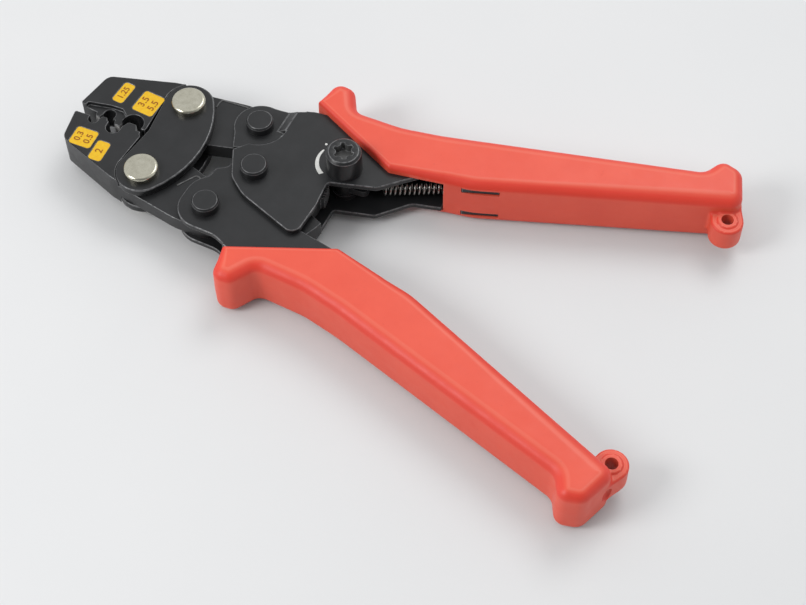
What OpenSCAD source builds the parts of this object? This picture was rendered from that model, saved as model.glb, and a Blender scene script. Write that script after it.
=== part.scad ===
// Ratchet hand crimping tool with a compound linkage, shown open.
// The origin is on the centre pin's axis, halfway through the thickness.
// +X runs from the jaws to the grips along the centre line, +Y is the side of
// the handle that carries the release knob, and +Z is the side of the knob.
// All lengths are millimetres and all angles are degrees.

/* [Linkage] */
// Distance of the jaw pins ahead of the centre pin
jaw_pin_x = 34.6; // [34:0.1:36]
// Distance of each jaw pin from the centre line
jaw_pin_y = 16.2; // [15.8:0.1:16.6]
// Distance of the tail pins ahead of the centre pin
tail_pin_x = 8.2; // [7.6:0.1:8.8]
// Distance of each tail pin from the centre line
tail_pin_y = 19.1; // [18.8:0.1:19.4]
// Angle that each handle swings from open to closed
handle_swing = 15.5; // [14:0.5:15.5]

/* [Jaws] */
// Thickness of the jaws ahead of the side plates
jaw_t = 12; // [11:0.5:13]
// Thickness of the jaw webs between the side plates
web_t = 5.9; // [5:0.1:5.9]
// Distance of the jaw tips ahead of the centre pin
jaw_tip_x = 68; // [66:0.5:70]
// Gap between the jaw faces when they are closed
jaw_gap = 0.1; // [0.1:0.05:0.3]
// Depth of the step beside the nests of the upper jaw
nest_step_t = 1.6; // [1:0.1:2]
// Depth of the size label pockets
label_depth = 0.35; // [0.2:0.05:0.6]

/* [Side plates] */
// Thickness of each side plate
plate_t = 3; // [2.6:0.1:3]
// Radius of the side plates round the jaw pins
plate_r = 8.7; // [8.4:0.1:9]
// Distance of the rear edge of the side plates ahead of the centre pin
plate_rear_x = 20.8; // [20:0.1:22]

/* [Pins] */
// Diameter of the jaw pins
jaw_pin_d = 8; // [7:0.1:8]
// Diameter of the plated jaw pin heads
jaw_head_d = 11.8; // [11:0.1:12.4]
// Height of the plated jaw pin heads
jaw_head_h = 2.5; // [2:0.1:3]
// Diameter of the tail pins and the centre pin
pin_d = 6.4; // [5.6:0.1:6.6]
// Diameter of the black pin heads
pin_head_d = 9.6; // [9:0.1:10]
// Height of the black pin heads
pin_head_h = 3.3; // [2.8:0.1:3.6]
// Radial clearance of a turning pin
run = 0.05; // [0.03:0.01:0.08]
// Radial clearance of the lower jaw pin in the lower jaw
float_run = 0.5; // [0.45:0.05:0.6]

/* [Handles] */
// Thickness of the handle sheet
sheet_t = 2; // [1.8:0.1:2]
// Thickness of each grip
grip_t = 21; // [20:0.5:22]
// Radius of the grip's long edges
grip_edge_r = 4; // [3:0.5:4]
// Diameter of the hole in the lanyard loops
loop_d = 4.2; // [3.6:0.1:4.6]
// Outer diameter of the lanyard loops
loop_outer_d = 10.2; // [9.6:0.1:10.8]

/* [Ratchet] */
// Distance of the release knob behind the centre pin
knob_x = 27; // [26.8:0.1:27.4]
// Distance of the release knob from the centre line
knob_y = 13.9; // [13.6:0.1:14.2]
// Diameter of the release knob
knob_d = 12; // [11:0.1:12.6]
// Height of the release knob
knob_h = 9; // [8:0.5:10]
// Number of teeth on the ratchet sector
teeth = 6; // [4:1:8]
// Radius over the teeth of the ratchet sector
tooth_r = 25.4; // [25.2:0.1:25.4]
// Length of the pawl from its axis to its nose
pawl_len = 5.5; // [5.3:0.1:5.6]
// Angle between the resting pawl and the line to the centre pin
pawl_lean = 32; // [31:0.5:34]
// Outer diameter of the pawl spring
spring_d = 5; // [4.4:0.1:5.2]
// Wire diameter of the pawl spring
spring_wire = 0.8; // [0.6:0.1:1]

/* [Hidden] */
$fn = 48;

// Pin positions in the open pose
jaw_pin = [-jaw_pin_x, jaw_pin_y];
tail_pin = [-tail_pin_x, tail_pin_y];
knob_pin = [knob_x, knob_y];

// How far each jaw turns between open and closed, from the two link lengths
tail_arm = norm(tail_pin - jaw_pin);
tail_reach = norm(tail_pin);
tail_angle = atan2(tail_pin_y, -tail_pin_x);
arm_open = asin((tail_pin_y - jaw_pin_y) / tail_arm);
arm_closed = asin((tail_reach * sin(tail_angle - handle_swing) - jaw_pin_y) / tail_arm);
jaw_swing = arm_closed - arm_open;

// Gap in diameter where a fixed pin sits in its hole
press_gap = 0.04;
// Half length of cutters that pass right through the tool
through = 20;

// Layers through the thickness, from the middle outwards
layer_gap = 0.05;
inner_z = web_t / 2 + layer_gap;
plate_z = inner_z + plate_t;
lower_z = inner_z + sheet_t;
upper_in_z = lower_z + layer_gap;
upper_z = upper_in_z + sheet_t;
insert_z = inner_z - 0.1;
grip_z = grip_t / 2;

// Rear edge of the side plates: an arc that touches both rounded ends
plate_dx = plate_rear_x - jaw_pin_x;
plate_rear_r = (plate_r * plate_r - plate_dx * plate_dx - jaw_pin_y * jaw_pin_y)
    / (2 * (plate_dx + plate_r));
plate_front_x = -41.3;
// The jaws are full thickness only ahead of this place
thick_jaw_x = -39.2;

// Nests from the jaw tip inwards: place along the jaw, width, depth of the hollow,
// length of the tooth that faces it, and the jaw that is hollow
nests = [[-60.4, 3.6, 2.8, 1.5, "lower"], [-57, 4.2, 3.3, 1.2, "upper"],
         [-52.3, 5.2, 4.3, 1.6, "lower"], [-46.9, 7.6, 4.6, 2.2, "upper"]];
// Offset of the line where the jaws meet from the centre line
parting_y = -1.2;
// Relief in the lower jaw behind the last nest: place, width and depth
root_relief = [-41, 3.4, 2];

// Handle outlines are for the upper handle; the lower handle mirrors them.
// Outer edge of the sheet from the front of the web to the end of the handle
frame_back = [[4, 30.4], [8, 31.5], [22, 33.4], [37, 34.2], [51, 36.9], [129, 59]];
handle_end = [131.5, 49.7];
// Inner edge of the upper handle's cheeks; the rear cheek is wider than the front one
front_edge = [[25, -18.6, 3.4], [25.7, -4, 10], [24.7, 5.9, 1.5], [40.6, 10.9, 3], [54, 24.2, 6]];
rear_edge = [[26, -18.6, 3.4], [27.3, -6, 10], [27.2, 4.2, 1.5], [41, 8.2, 3], [50.2, 18.2, 5],
             [59.9, 20.9, 0.5], [59.9, 26.1, 0]];
ear_r = 9.1;
ear_slot = 0.8;
bush_r = 5.2;
ramp_x = 1.8;
wall_start_x = 60.2;
// Slot in each grip's inner wall for a locking tab of the sheet: corner, angle and length
slot_place = [69.5, 14];
slot_angle = 20.4;
slot_len = 13;

// Ratchet angles about the centre pin, with the handles open
pawl_angle = atan2(knob_y, knob_x);
pawl_swing = 8.3;
tooth_from = pawl_angle - 2 * handle_swing + pawl_swing;
tooth_to = pawl_angle - pawl_swing;
tooth_h = 1.3;
sector_outer_r = 30;
sector_inner_r = 17;
sector_step = -14.5;
sector_rivet_places = [[16, -11.5], [30.5, -25.5]];
sector_rivet_d = 4;
shaft_d = 6;
hub_r = 4.3;
anchor_place = [74, 34];
anchor_d = 3;

// Eye at the pawl's tail and the line of the spring from there to its anchor
spring_eye = 7.4;
eye_d = 1.8;
lug_z = 1.2;
spring_air = 0.6;
eye_place = knob_pin + spring_eye * [cos(pawl_angle - pawl_lean), sin(pawl_angle - pawl_lean)];
spring_line = anchor_place - eye_place;
spring_span = norm(spring_line);
spring_angle = atan2(spring_line.y, spring_line.x);

// Centre of the hole in the upper lanyard loop
loop_place = [150.6, 50.9];

steel = "#3c3c3f";
plated = "#cfcac0";
zinc = "#8a8c90";
coral = "#ea6455";

// Outline helpers -----------------------------------------------------------

function unit(v) = v / norm(v);
function turn(a, b) = let (d = b - a) d > 180 ? d - 360 : d < -180 ? d + 360 : d;
function spin(p, a, c = [0, 0]) =
    let (d = p - c) c + [d.x * cos(a) - d.y * sin(a), d.x * sin(a) + d.y * cos(a)];

// Points along an arc from angle a to angle b
function arc(c, r, a, b) =
    let (n = max(2, ceil(abs(b - a) / 7)))
    [for (i = [0 : n]) c + r * [cos(a + (b - a) * i / n), sin(a + (b - a) * i / n)]];

// Points that round the corner q between p and s with radius r
function corner(p, q, s, r) =
    let (u = unit(p - q), v = unit(s - q), half = acos(u * v) / 2,
         c = q + unit(u + v) * r / sin(half),
         start = q + u * r / tan(half) - c, stop = q + v * r / tan(half) - c,
         a = atan2(start.y, start.x), b = atan2(stop.y, stop.x))
    arc(c, r, a, a + turn(a, b));

// Closed outline from corners [x, y, radius]; a radius of 0 keeps the corner sharp
function outline(corners) =
    let (n = len(corners), at = function (i) [corners[(i + n) % n].x, corners[(i + n) % n].y])
    [for (i = [0 : n - 1])
        each (corners[i][2] > 0 ? corner(at(i - 1), at(i), at(i + 1), corners[i][2]) : [at(i)])];

function reversed(list) = [for (i = [len(list) - 1 : -1 : 0]) list[i]];

module slab(low, high) {
    translate([0, 0, low]) linear_extrude(high - low) children();
}

module both_sides() {
    children();
    mirror([0, 0, 1]) children();
}

module bore(place, d, half_length) {
    translate([place.x, place.y, -half_length]) cylinder(d = d, h = 2 * half_length);
}

// Side plates and their pins -------------------------------------------------

// D-shaped outline of the side plates, grown by a margin
module plate_outline(grow = 0) {
    rear_c = [-plate_rear_x - plate_rear_r, 0];
    lean = atan2(jaw_pin_y, -jaw_pin_x - rear_c.x);
    low_pin = [jaw_pin.x, -jaw_pin.y];
    polygon(concat(
        arc(rear_c, plate_rear_r + grow, -lean, lean),
        arc(jaw_pin, plate_r + grow, lean, 180),
        [[plate_front_x - grow, 0]],
        arc(low_pin, plate_r + grow, 180, 360 - lean)));
}

module side_plate() {
    difference() {
        slab(inner_z, plate_z) plate_outline();
        bore(jaw_pin, jaw_pin_d + press_gap, through);
        bore([jaw_pin.x, -jaw_pin.y], jaw_pin_d + press_gap, through);
    }
}

module side_plate_front() {
    color(steel) side_plate();
}

module side_plate_rear() {
    color(steel) mirror([0, 0, 1]) side_plate();
}

// Plated pin with a flat head and a rounded rim on each side
module jaw_pin_solid(place) {
    rim = 1.1;
    r = jaw_head_d / 2;
    top = plate_z + press_gap / 2 + jaw_head_h;
    translate([place.x, place.y, 0]) rotate_extrude() polygon(concat(
        [[0, -top], [r - rim, -top]],
        arc([r - rim, -top + rim], rim, -90, 0),
        [[r, -plate_z - press_gap / 2], [jaw_pin_d / 2, -plate_z - press_gap / 2],
         [jaw_pin_d / 2, plate_z + press_gap / 2], [r, plate_z + press_gap / 2]],
        arc([r - rim, top - rim], rim, 0, 90),
        [[0, top]]));
}

module upper_jaw_pin() {
    color(plated) jaw_pin_solid(jaw_pin);
}

module lower_jaw_pin() {
    color(plated) jaw_pin_solid([jaw_pin.x, -jaw_pin.y]);
}

// Jaws -----------------------------------------------------------------------

// Outline of a closed jaw drawn on the upper side; face is the height of its mouth edge
module jaw_blank(face) {
    tail = spin(tail_pin, jaw_swing, jaw_pin);
    tail_r = 8;
    polygon(outline([
        [-jaw_tip_x, face, 0.7], [-66.4, 13.4, 3.6], [-43.4, 22.5, 14], [-17, 28, 20],
        [tail.x + tail_r, tail.y + tail_r, tail_r - 0.1], [tail.x + tail_r, tail.y - tail_r, tail_r - 0.1],
        [-12.5, 8.9, 2], [-20, 6.2, 6], [-36.5, face + 1.9, 3], [-39, face + 0.7, 0.3], [-42.4, face, 0]]));
}

// Round-bottomed hollow that receives the terminal
module nest_hollow(x, w, depth) {
    translate([x, depth - w / 2]) circle(d = w);
    translate([x - w / 2, -0.5]) square([w, 0.5 + depth - w / 2]);
}

// Blunt tooth that indents the terminal
module nest_tooth(x, w, length) {
    polygon(outline([
        [x - w * 0.38, -0.6, 0], [x + w * 0.38, -0.6, 0],
        [x + w * 0.2, length, w * 0.1], [x - w * 0.2, length, w * 0.1]]));
}

// Jaw outline with its hollows and teeth; which is "upper" or "lower"
module jaw_profile(which) {
    face = jaw_gap / 2 + (which == "upper" ? parting_y : -parting_y);
    difference() {
        union() {
            jaw_blank(face);
            for (n = nests) if (n[4] != which) translate([0, face]) mirror([0, 1]) nest_tooth(n[0], n[1], n[3]);
        }
        for (n = nests) if (n[4] == which) translate([0, face]) nest_hollow(n[0], n[1], n[2]);
        if (which == "lower") translate([0, face]) nest_hollow(root_relief[0], root_relief[1], root_relief[2]);
    }
}

// Space that the side plates sweep beside a closed jaw as it opens
module plate_sweep() {
    for (i = [0 : 3]) translate(jaw_pin) rotate(-jaw_swing * i / 3 + jaw_swing)
        translate(-jaw_pin) plate_outline(0.2);
    translate([thick_jaw_x, -40]) square([80, 80]);
}

// Rounded pocket that holds a painted size label
module label_pocket(x, y, w, h) {
    r = 1.1;
    slab(jaw_t / 2 - label_depth, jaw_t / 2 + 1) polygon(outline([
        [x - w / 2, y - h / 2, r], [x + w / 2, y - h / 2, r],
        [x + w / 2, y + h / 2, r], [x - w / 2, y + h / 2, r]]));
}

// A jaw in the closed position, on the upper side
module closed_jaw(which, pin_clearance) {
    difference() {
        union() {
            slab(-web_t / 2, web_t / 2) jaw_profile(which);
            slab(-jaw_t / 2, jaw_t / 2) difference() {
                jaw_profile(which);
                plate_sweep();
            }
        }
        bore(jaw_pin, jaw_pin_d + 2 * pin_clearance, through);
        bore(spin(tail_pin, jaw_swing, jaw_pin), pin_d + 2 * run, through);
    }
}

// Lowered strip beside the first nests, on both faces of the upper jaw
module nest_step() {
    both_sides() slab(jaw_t / 2 - nest_step_t, jaw_t / 2 + 1) polygon(outline([
        [-65.9, -5, 0], [-65.9, 0.3, 0.8], [-57.6, 2.8, 6], [-53.4, 3.3, 1.2], [-51, 1.6, 1.2], [-50.4, -5, 0]]));
}

module upper_jaw() {
    color(steel) translate(jaw_pin) rotate(-jaw_swing) translate(-jaw_pin) difference() {
        closed_jaw("upper", run);
        nest_step();
        label_pocket(-57.4, 9.6, 4.3, 9);
        label_pocket(-47.1, 9.6, 8.2, 9.3);
    }
}

module lower_jaw() {
    color(steel) mirror([0, 1, 0]) translate(jaw_pin) rotate(-jaw_swing) translate(-jaw_pin) difference() {
        closed_jaw("lower", float_run);
        label_pocket(-59.6, 10.8, 8.2, 7.6);
        label_pocket(-51.9, 14, 4.9, 8.4);
    }
}

// Handle frames ----------------------------------------------------------------

module web_strip() {
    inward = [0.54, -sheet_t * 0.97];
    polygon(concat(frame_back, reversed([for (p = frame_back) p + inward])));
}

// Tab of the sheet that locks the grip through its slot
module lock_tab() {
    gap = 0.2;
    tab_low = 9.3;
    tab_high = 16;
    translate(slot_place) rotate(slot_angle) translate([gap, tab_low]) square([slot_len - 2 * gap, tab_high - tab_low]);
}

// Cheek of the upper handle on its outer layer, without the ear
module upper_cheek(edge) {
    polygon(concat(
        outline(concat(
            [[-10.9, 4.7, 0.8], [-5.6, -5.8, 6], [1, -10.7, 14]], edge,
            [[handle_end.x, handle_end.y, 1.5], [129, 59, 1.5], [51, 36.9, 30], [37, 34.2, 30], [22, 33.4, 30],
             [6.5, 31.3, 6], [ramp_x, 29, 0.4], [ramp_x, 20, 0]])),
        arc(tail_pin, ear_r + ear_slot, 0, -84)));
    lock_tab();
}

// Pressed-in ear that carries the tail pin of the upper jaw
module ear_outline() {
    difference() {
        union() {
            translate(tail_pin) circle(r = ear_r);
            polygon([[-12.3, 6.9], [-8, 8.4], [-5, 12], [-8, 19], [-16.9, 17.3]]);
            polygon([[-8.2, 28.1], [-8.2, 19], [-0.5, 19], [-0.5, 28.9], [-5, 28.3]]);
        }
        polygon([[-20, -5], [-13, 5.7], [-7.2, 9.3], [30, 9.3], [30, -5]]);
    }
}

// Sloping sheet between the ear and the cheek
module ear_ramp() {
    ramp_low = 19.6;
    ramp_high = 28.9;
    translate([0, ramp_high, 0]) rotate([90, 0, 0]) linear_extrude(ramp_high - ramp_low) polygon([
        [-1.9, inner_z], [-0.6, inner_z], [ramp_x + 0.5, upper_in_z], [ramp_x + 0.5, upper_z],
        [ramp_x - 0.4, upper_z], [-1.6, lower_z], [-1.9, lower_z]]);
}

module upper_frame_side(edge) {
    slab(upper_in_z, upper_z) upper_cheek(edge);
    slab(inner_z, lower_z) ear_outline();
    ear_ramp();
}

module upper_frame() {
    color(steel) difference() {
        union() {
            upper_frame_side(front_edge);
            mirror([0, 0, 1]) upper_frame_side(rear_edge);
            slab(-upper_z, upper_z) web_strip();
        }
        bore(tail_pin, pin_d + press_gap, through);
        bore([0, 0], pin_d + press_gap, through);
        bore(knob_pin, shaft_d + 2 * run, through);
        bore(anchor_place, anchor_d + press_gap, through);
    }
}

// Cheek of the lower handle, drawn on the upper side
module lower_cheek() {
    polygon(outline([
        [-17.8, 28.4, 9], [-17.4, 11.5, 9], [-13.3, 7.5, 2], [-12.9, 3.6, 1.4], [-9.6, 1.4, 3],
        [-7.5, -8.5, 6], [6.5, -9.2, 8], [12.5, 6.5, 8], [22.5, 14, 8], [38.8, 16.6, 8], [54, 23.8, 8],
        [handle_end.x, handle_end.y, 1.5], [129, 59, 1.5], [51, 36.9, 30], [37, 34.2, 30], [22, 33.4, 30],
        [7, 31.2, 12], [0, 28.4, 8]]));
    lock_tab();
}

module lower_frame() {
    color(steel) mirror([0, 1, 0]) difference() {
        union() {
            both_sides() slab(inner_z, lower_z) lower_cheek();
            slab(-lower_z, lower_z) web_strip();
        }
        bore(tail_pin, pin_d + press_gap, through);
        bore([0, 0], pin_d + 2 * run, through);
        for (p = sector_rivet_places) bore([p.x, -p.y], sector_rivet_d + press_gap, through);
    }
}

// Black pin with a chamfered head on each side; seat is the face it bears on
module headed_pin(place, seat) {
    chamfer = 0.7;
    r = pin_head_d / 2;
    base = seat + press_gap / 2;
    top = base + pin_head_h;
    translate([place.x, place.y, 0]) rotate_extrude() polygon([
        [0, -top], [r - chamfer, -top], [r - 0.15, -top + chamfer], [r, -base], [pin_d / 2, -base],
        [pin_d / 2, base], [r, base], [r - 0.15, top - chamfer], [r - chamfer, top], [0, top]]);
}

module upper_tail_pin() {
    color(steel) headed_pin(tail_pin, lower_z);
}

module lower_tail_pin() {
    color(steel) headed_pin([tail_pin.x, -tail_pin.y], lower_z);
}

module centre_pin() {
    color(steel) headed_pin([0, 0], upper_z);
}

module centre_bush() {
    color(zinc) difference() {
        translate([0, 0, -insert_z]) cylinder(r = bush_r, h = 2 * insert_z);
        bore([0, 0], pin_d + 2 * run, through);
    }
}

// Ratchet ----------------------------------------------------------------------

// Saw-tooth points, from the last tooth back to the first
function tooth_points() =
    let (pitch = (tooth_to - tooth_from) / teeth)
    [for (i = [teeth - 1 : -1 : 0]) each [
        for (k = [[0.85, 0], [0.55, tooth_h], [0.3, tooth_h]])
            let (a = tooth_from + (i + k[0]) * pitch, r = tooth_r - tooth_h + k[1]) r * [cos(a), sin(a)]]];

module ratchet_sector() {
    root_r = tooth_r - tooth_h;
    color(zinc) difference() {
        slab(-insert_z, insert_z) polygon(concat(
            arc([0, 0], sector_inner_r, -20, tooth_to + 1),
            arc([0, 0], root_r, tooth_to + 1, tooth_to),
            tooth_points(),
            arc([0, 0], root_r, tooth_from - 1, sector_step + 1.5),
            arc([0, 0], sector_outer_r, sector_step, -30),
            [[33.5, -19.5], [34.5, -26.5], [29.5, -29.5], [11.5, -15.5], [11.5, -8.5]]));
        for (p = sector_rivet_places) bore(p, sector_rivet_d + press_gap, through);
    }
}

module sector_rivets() {
    color(steel) for (p = sector_rivet_places) bore(p, sector_rivet_d, lower_z);
}

// Pawl with a blunt nose towards the sector and a thin lug with an eye for its spring
module ratchet_pawl() {
    nose = pawl_angle + 180 - pawl_lean;
    color(zinc) translate(knob_pin) rotate(nose) difference() {
        union() {
            slab(-insert_z, insert_z) {
                circle(r = hub_r);
                polygon(outline([
                    [0, -3.4, 0], [pawl_len, -0.75, 0.4], [pawl_len, 0.75, 0.4], [0, 3.4, 0]]));
            }
            slab(-lug_z, lug_z) polygon(outline([
                [0, -3.4, 0], [0, 3.4, 0], [-spring_eye - 2, 2, 1.9], [-spring_eye - 2, -2, 1.9]]));
        }
        bore([0, 0], shaft_d + press_gap, through);
        bore([-spring_eye, 0], eye_d, through);
    }
}

module pawl_shaft() {
    neck = 0.5;
    clip_z = upper_z + 0.1;
    top = upper_z + 5;
    color(zinc) translate(knob_pin) rotate_extrude() polygon([
        [0, -clip_z - 2], [shaft_d / 2 - 0.3, -clip_z - 2], [shaft_d / 2, -clip_z - 1.7],
        [shaft_d / 2, -clip_z - 1], [shaft_d / 2 - neck, -clip_z - 1], [shaft_d / 2 - neck, -clip_z],
        [shaft_d / 2, -clip_z], [shaft_d / 2, top], [0, top]]);
}

module pawl_washers() {
    color(zinc) both_sides() translate([knob_pin.x, knob_pin.y, inner_z]) difference() {
        cylinder(r = hub_r + 0.4, h = upper_in_z - inner_z - 0.05);
        translate([0, 0, -1]) cylinder(d = shaft_d + 2 * run, h = 10);
    }
}

// Knob with a six-lobed socket for a driver in its top
module release_knob() {
    base = upper_z + 0.1;
    top = base + knob_h;
    r = knob_d / 2;
    socket_r = 3.5;
    lobe_r = 1.35;
    color(steel) translate(knob_pin) difference() {
        rotate_extrude() polygon([
            [0, base], [r + 0.2, base], [r + 0.2, base + 0.8], [r, top - 0.9], [r - 0.9, top], [0, top]]);
        translate([0, 0, base - 1]) cylinder(d = shaft_d + press_gap, h = 6.05);
        slab(top - 3, top + 1) difference() {
            circle(r = socket_r);
            for (i = [0 : 5]) rotate(60 * i + 30) translate([socket_r + 0.35, 0]) circle(r = lobe_r);
        }
    }
}

// Open ring that snaps into the shaft's groove at the back
module shaft_clip() {
    color(zinc) translate([knob_pin.x, knob_pin.y, -upper_z - 0.95]) linear_extrude(0.7) difference() {
        circle(r = 5);
        circle(r = shaft_d / 2 - 0.45);
        translate([0, -1.6]) square([8, 3.2]);
    }
}

// Round wire along a list of places, as one closed body
module wire(path, d) {
    sides = 6;
    n = len(path);
    points = [for (i = [0 : n - 1])
        let (t = unit(path[min(i + 1, n - 1)] - path[max(i - 1, 0)]),
             flat = norm([t.x, t.y]), u = flat > 0.01 ? [-t.y, t.x, 0] / flat : [1, 0, 0], v = cross(t, u))
        for (k = [0 : sides - 1]) path[i] + d / 2 * (cos(360 * k / sides) * u + sin(360 * k / sides) * v)];
    faces = [
        [for (k = [0 : sides - 1]) k],
        [for (k = [sides - 1 : -1 : 0]) (n - 1) * sides + k],
        for (i = [0 : n - 2]) for (k = [0 : sides - 1])
            let (a = i * sides + k, b = i * sides + (k + 1) % sides)
            each [[a, a + sides, b + sides], [a, b + sides, b]]];
    polyhedron(points, faces, convexity = 12);
}

// Extension spring from the pawl's eye, which its hook passes through, to the anchor pin
module pawl_spring() {
    lead = 3.4;
    tail = 2.6;
    turns = 24;
    steps = 8;
    r = (spring_d - spring_wire) / 2;
    hook = [[0, 0, -lug_z - 0.8], [0, 0, lug_z + 0.3], [0.3, 0, r - 0.25], [0.9, 0, r]];
    coil = [for (i = [0 : turns * steps])
        let (a = 360 * i / steps, x = lead + (spring_span - lead - tail) * i / (turns * steps))
        [x, r * sin(a), r * cos(a)]];
    color(plated) translate([eye_place.x, eye_place.y, 0]) rotate([0, 0, spring_angle])
        wire(concat(hook, coil, [[spring_span - 2, 0, 1.9]]), spring_wire);
}

module spring_anchor_pin() {
    color(zinc) bore(anchor_place, anchor_d, upper_z - 0.05);
}

// Grips ------------------------------------------------------------------------

// Side view of a grip: guard at the front, swelling at the end
module grip_outline() {
    polygon(outline([
        [6.6, 33.7, 0.8], [8.2, 45.8, 4.2], [15.6, 45, 4], [20.6, 36.6, 4], [37.5, 37.2, 30],
        [51, 40, 60], [137, 63.9, 5], [141, 71.2, 4], [149.3, 69.4, 5], [155.3, 55.6, 5],
        [70, 23.4, 30], [59.5, 21.6, 10], [41.4, 18.1, 2]]));
}

// Room for the handle sheet; half is half the sheet's width
module grip_cavity(half) {
    room = 0.1;
    slab(-half - room, half + room) {
        polygon(concat(
            [for (p = frame_back) p + [-0.03, room]],
            [handle_end + [0.3, 9], handle_end + [0.3, -0.15], [wall_start_x, 25.3],
             [wall_start_x, 5], [-5, 5], [-5, 30]]));
    }
}

// Grip with rounded long edges and a flat that widens along the inner edges
module grip_body() {
    r = grip_edge_r;
    flat_start = [66.5, 20.7, 7.6];
    flat_angle = 24.2;
    difference() {
        minkowski() {
            slab(-grip_z + r, grip_z - r) offset(delta = -r) grip_outline();
            sphere(r = r, $fn = 16);
        }
        both_sides() translate(flat_start) rotate([0, 0, flat_angle]) rotate([45, 0, 0])
            translate([0, -12, 0]) cube([100, 24, 8]);
    }
}

// Grip of the upper side; half is half the width of the sheet inside it
module grip(half) {
    slot_z = half - sheet_t / 2;
    slot_t = 2.2;
    loop_z = 4.8;
    difference() {
        union() {
            grip_body();
            slab(-loop_z, loop_z) {
                translate(loop_place) circle(d = loop_outer_d);
                polygon([[145.6, 51.4], [150, 56], [155.2, 57], [155.6, 51.6]]);
            }
        }
        grip_cavity(half);
        bore(loop_place, loop_d, through);
        for (side = [-1, 1]) translate([slot_place.x, slot_place.y, side * slot_z - slot_t / 2])
            rotate([0, 0, slot_angle]) cube([slot_len, 16, slot_t]);
    }
}

// Room for the pawl spring where it enters the upper grip
module spring_room() {
    translate([eye_place.x, eye_place.y, 0]) rotate([0, 0, spring_angle]) rotate([0, 90, 0])
        cylinder(d = spring_d + 2 * spring_air, h = spring_span);
}

module upper_grip() {
    color(coral) difference() {
        grip(upper_z);
        spring_room();
    }
}

module lower_grip() {
    color(coral) mirror([0, 1, 0]) grip(lower_z);
}

side_plate_front();
side_plate_rear();
upper_jaw_pin();
lower_jaw_pin();
upper_jaw();
lower_jaw();
upper_frame();
lower_frame();
upper_tail_pin();
lower_tail_pin();
centre_pin();
centre_bush();
ratchet_sector();
sector_rivets();
ratchet_pawl();
pawl_shaft();
pawl_washers();
release_knob();
shaft_clip();
pawl_spring();
spring_anchor_pin();
upper_grip();
lower_grip();
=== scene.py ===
"""Ratchet hand crimping tool, shown open on a pale table.

The metal pieces are the CAD nodes with rounded edges. The grips, the spring and the
painted marks are built here as meshes. Lengths are millimetres until they enter a mesh.
"""

import math

import bpy
import numpy as np
from mathutils import Matrix, Vector


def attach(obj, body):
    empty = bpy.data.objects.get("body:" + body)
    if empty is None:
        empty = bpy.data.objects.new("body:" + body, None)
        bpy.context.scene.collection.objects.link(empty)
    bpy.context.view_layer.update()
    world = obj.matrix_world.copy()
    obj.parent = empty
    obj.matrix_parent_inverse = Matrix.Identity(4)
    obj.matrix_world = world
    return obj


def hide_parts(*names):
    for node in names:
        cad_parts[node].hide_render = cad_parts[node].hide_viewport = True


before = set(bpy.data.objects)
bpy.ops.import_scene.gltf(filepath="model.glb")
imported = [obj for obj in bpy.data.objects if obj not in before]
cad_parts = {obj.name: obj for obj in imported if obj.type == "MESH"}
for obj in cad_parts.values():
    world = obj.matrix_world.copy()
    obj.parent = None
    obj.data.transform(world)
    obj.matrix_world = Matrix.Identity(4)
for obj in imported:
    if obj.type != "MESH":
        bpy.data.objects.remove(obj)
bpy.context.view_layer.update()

MM = 0.001

# Places shared with the CAD, in millimetres
JAW_PIN = (-34.6, 16.2)
KNOB = (27.0, 13.9)
KNOB_FACE = 16.15
SOCKET_RADIUS = 3.5
SOCKET_SHINE = 0.09
EYE = (34.374, 13.281)
ANCHOR = (74.0, 34.0)
LOOP = (150.6, 50.9)
DISH = (153.0, 59.2)
JAW_SWING = 3.2602
GRIP_HALF = 10.423
JAW_FACE = 6.0
CHEEK_FACE = 7.05


# Outlines -------------------------------------------------------------------------

def arc_points(centre, radius, start, stop):
    """Points along an arc; the angles are radians."""
    steps = max(2, math.ceil(abs(stop - start) / math.radians(5)))
    angles = [start + (stop - start) * i / steps for i in range(steps + 1)]
    return [(centre[0] + radius * math.cos(a), centre[1] + radius * math.sin(a)) for a in angles]


def rounded_corner(before, corner, after, radius):
    """Points that round one corner of an outline."""
    here = Vector(corner)
    u = (Vector(before) - here).normalized()
    v = (Vector(after) - here).normalized()
    half = u.angle(v) / 2
    centre = here + (u + v).normalized() * radius / math.sin(half)
    start = here + u * radius / math.tan(half) - centre
    stop = here + v * radius / math.tan(half) - centre
    a = math.atan2(start.y, start.x)
    turn = (math.atan2(stop.y, stop.x) - a + math.pi) % math.tau - math.pi
    return arc_points(centre, radius, a, a + turn)


def rounded_outline(corners):
    """Closed outline from corners (x, y, radius)."""
    points = []
    for i, (x, y, radius) in enumerate(corners):
        if radius == 0:
            points.append((x, y))
            continue
        after = corners[(i + 1) % len(corners)]
        points.extend(rounded_corner(corners[i - 1][:2], (x, y), after[:2], radius))
    return points


def rounded_box(x, y, width, height, radius):
    """Outline of a rectangle with rounded corners."""
    left, right = x - width / 2, x + width / 2
    low, high = y - height / 2, y + height / 2
    corners = [(left, low), (right, low), (right, high), (left, high)]
    return rounded_outline([(px, py, radius) for px, py in corners])


def circle_outline(centre, radius, sides=64):
    angles = [math.tau * i / sides for i in range(sides)]
    return [(centre[0] + radius * math.cos(a), centre[1] + radius * math.sin(a)) for a in angles]


# Mesh tools -------------------------------------------------------------------------

def make_object(name, points, faces, material, sharp=35):
    """Mesh object from points in millimetres, smooth except at edges sharper than the angle."""
    mesh = bpy.data.meshes.new(name)
    places = [tuple(float(c) * MM for c in p) for p in points]
    mesh.from_pydata(places, [], [tuple(map(int, f)) for f in faces])
    mesh.validate()
    mesh.polygons.foreach_set("use_smooth", [True] * len(mesh.polygons))
    mesh.set_sharp_from_angle(angle=math.radians(sharp))
    if material:
        mesh.materials.append(material)
    obj = bpy.data.objects.new(name, mesh)
    bpy.context.scene.collection.objects.link(obj)
    return obj


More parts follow.
